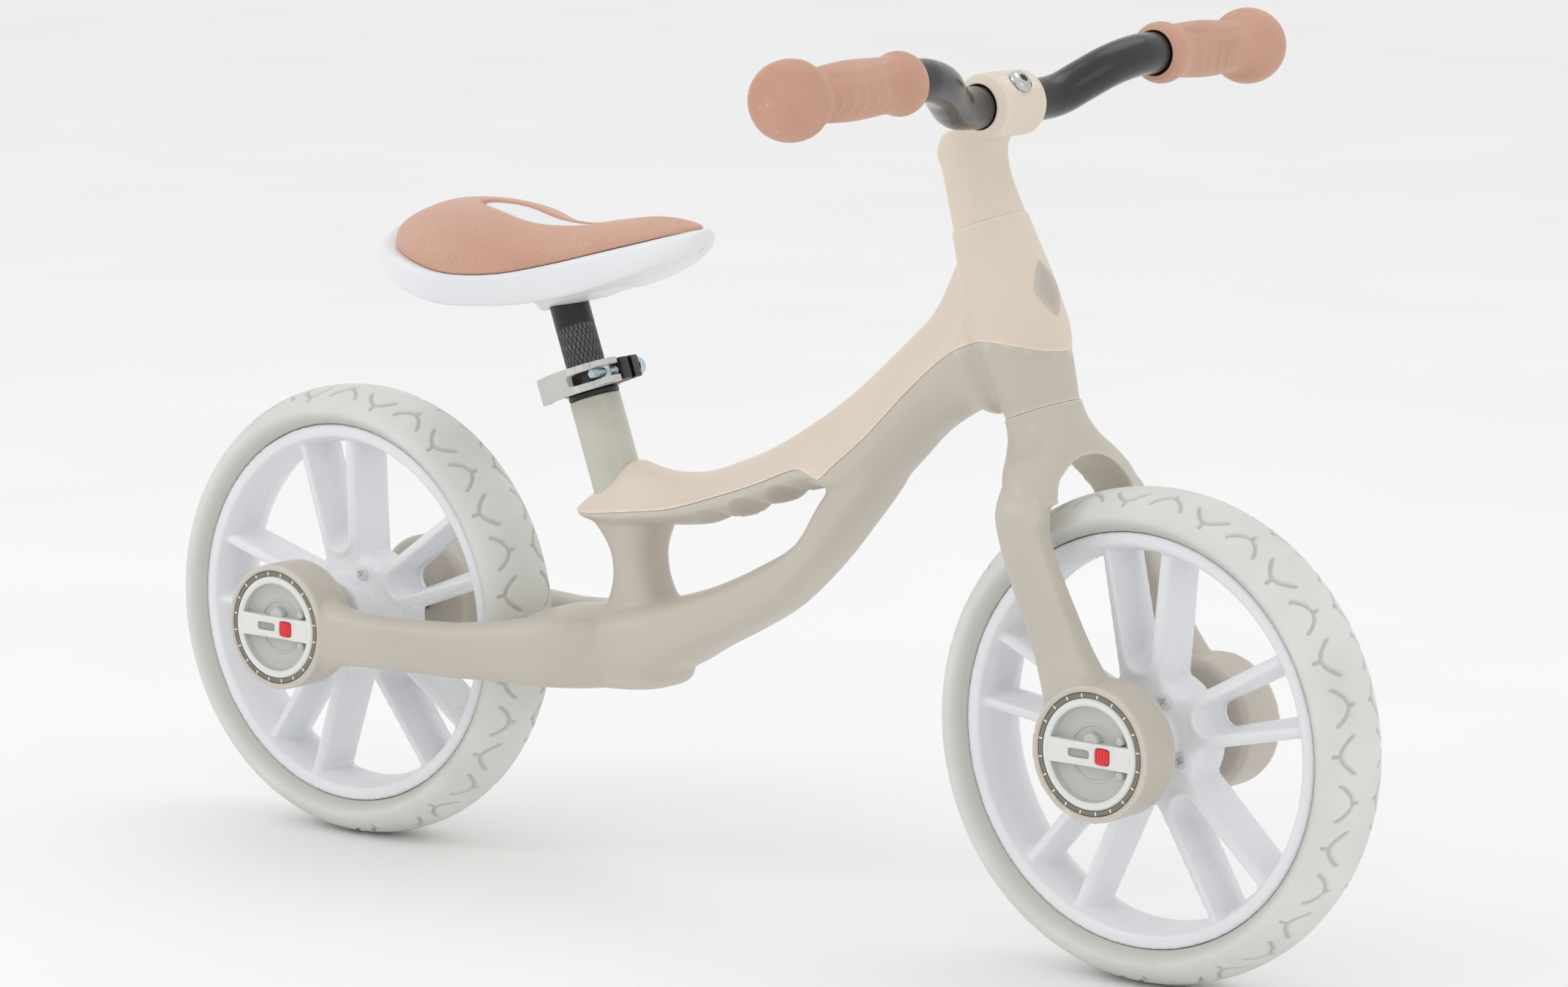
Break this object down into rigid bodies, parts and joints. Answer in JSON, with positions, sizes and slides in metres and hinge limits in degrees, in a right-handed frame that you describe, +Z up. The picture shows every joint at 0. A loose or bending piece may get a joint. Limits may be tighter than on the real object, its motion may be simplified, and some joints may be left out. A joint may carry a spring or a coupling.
{
  "type": "balance bike",
  "caption": "Toddler's balance bike: moulded frame with a carry handle, wheels on locking knobs, a steered fork with curved bar and soft grips, and a padded saddle on a clamped seat post",
  "frame": {"origin": "on the ground in the bike's middle plane, halfway between the two axles", "axes": "+X is forward, +Y is the rider's left, +Z is up"},
  "size_m": [0.796, 0.4228, 0.4781],
  "materials": {
    "tyre": "matte",
    "rim": "semi-gloss",
    "bare_steel": "turned",
    "bearing_steel": "ground",
    "black_plastic": "satin",
    "index_ring": "matte",
    "lock_knob": "satin",
    "lock_button": "semi-gloss",
    "frame_body": "satin",
    "cover": "satin",
    "fork": "satin",
    "chrome": "polished",
    "black_paint": "semi-gloss",
    "grip": "soft matte",
    "seat_tube": "satin",
    "clamp_metal": "satin",
    "lever": "satin",
    "zinc": "zinc plated",
    "saddle_base": "satin",
    "saddle_pad": "fine grain"
  },
  "bodies": {
    "frame": {"frame_body": "frame_body", "frame_cover": "cover", "seat_tube": "seat_tube", "seat_bushing": "black_plastic", "seat_clamp_band": "clamp_metal", "seat_clamp_barrel": "zinc", "seat_clamp_bolt": "zinc", "seat_clamp_nut": "zinc", "headset_bearing_lower": "bearing_steel", "headset_bearing_upper": "bearing_steel", "axle_rear": "bare_steel", "axle_spacer_rear_left": "black_plastic", "axle_spacer_rear_right": "black_plastic", "index_ring_rear_left": "index_ring", "index_ring_rear_right": "index_ring"},
    "steering": {"fork": "fork", "steerer_tube": "bare_steel", "stem": "cover", "stem_pinch_bolt": "chrome", "handlebar": "black_paint", "grip_left": "grip", "grip_right": "grip", "axle_front": "bare_steel", "axle_spacer_front_left": "black_plastic", "axle_spacer_front_right": "black_plastic", "index_ring_front_left": "index_ring", "index_ring_front_right": "index_ring"},
    "front_wheel": {"tyre_front": "tyre", "wheel_rim_front": "rim", "wheel_spokes_front": "rim", "wheel_bearing_front_left": "bearing_steel", "wheel_bearing_front_right": "bearing_steel"},
    "rear_wheel": {"tyre_rear": "tyre", "wheel_rim_rear": "rim", "wheel_spokes_rear": "rim", "wheel_bearing_rear_left": "bearing_steel", "wheel_bearing_rear_right": "bearing_steel"},
    "seat": {"seat_post": "black_paint", "saddle_base": "saddle_base", "saddle_pad": "saddle_pad"},
    "clamp_lever": {"seat_clamp_lever": "lever"},
    "knob_front_left": {"lock_knob_front_left": "lock_knob"},
    "knob_front_right": {"lock_knob_front_right": "lock_knob"},
    "knob_rear_left": {"lock_knob_rear_left": "lock_knob"},
    "knob_rear_right": {"lock_knob_rear_right": "lock_knob"},
    "button_front_left": {"lock_button_front_left": "lock_button"},
    "button_front_right": {"lock_button_front_right": "lock_button"},
    "button_rear_left": {"lock_button_rear_left": "lock_button"},
    "button_rear_right": {"lock_button_rear_right": "lock_button"}
  },
  "joints": [
    {"name": "steering", "type": "hinge", "parent": "frame", "child": "steering", "pos_m": [0.1973, 0, 0.2863], "axis": [-0.3502, 0, 0.9367], "range_deg": [-45, 45]},
    {"name": "front_wheel_spin", "type": "hinge", "parent": "steering", "child": "front_wheel", "pos_m": [0.271, 0, 0.127], "axis": [0, 1, 0], "continuous": true},
    {"name": "rear_wheel_spin", "type": "hinge", "parent": "frame", "child": "rear_wheel", "pos_m": [-0.271, 0, 0.127], "axis": [0, 1, 0], "continuous": true},
    {"name": "seat_height", "type": "slide", "parent": "frame", "child": "seat", "axis": [-0.3453, 0, 0.9385], "range_m": [-0.022, 0.04]},
    {"name": "clamp_lever", "type": "hinge", "parent": "frame", "child": "clamp_lever", "pos_m": [-0.08086, -0.016, 0.28135], "axis": [-0.3453, 0, 0.9385], "range_deg": [0, 120]},
    {"name": "knob_front_left_turn", "type": "hinge", "parent": "steering", "child": "knob_front_left", "pos_m": [0.271, 0.06, 0.127], "axis": [0, 1, 0], "range_deg": [0, 90]},
    {"name": "knob_front_right_turn", "type": "hinge", "parent": "steering", "child": "knob_front_right", "pos_m": [0.271, -0.06, 0.127], "axis": [0, -1, 0], "range_deg": [0, 90]},
    {"name": "knob_rear_left_turn", "type": "hinge", "parent": "frame", "child": "knob_rear_left", "pos_m": [-0.271, 0.075, 0.127], "axis": [0, 1, 0], "range_deg": [0, 90]},
    {"name": "knob_rear_right_turn", "type": "hinge", "parent": "frame", "child": "knob_rear_right", "pos_m": [-0.271, -0.075, 0.127], "axis": [0, -1, 0], "range_deg": [0, 90]},
    {"name": "button_front_left_press", "type": "slide", "parent": "knob_front_left", "child": "button_front_left", "axis": [0, -1, 0], "range_m": [0, 0.0025], "stiffness_N_per_m": 200},
    {"name": "button_front_right_press", "type": "slide", "parent": "knob_front_right", "child": "button_front_right", "axis": [0, 1, 0], "range_m": [0, 0.0025], "stiffness_N_per_m": 200},
    {"name": "button_rear_left_press", "type": "slide", "parent": "knob_rear_left", "child": "button_rear_left", "axis": [0, -1, 0], "range_m": [0, 0.0025], "stiffness_N_per_m": 200},
    {"name": "button_rear_right_press", "type": "slide", "parent": "knob_rear_right", "child": "button_rear_right", "axis": [0, 1, 0], "range_m": [0, 0.0025], "stiffness_N_per_m": 200}
  ]
}
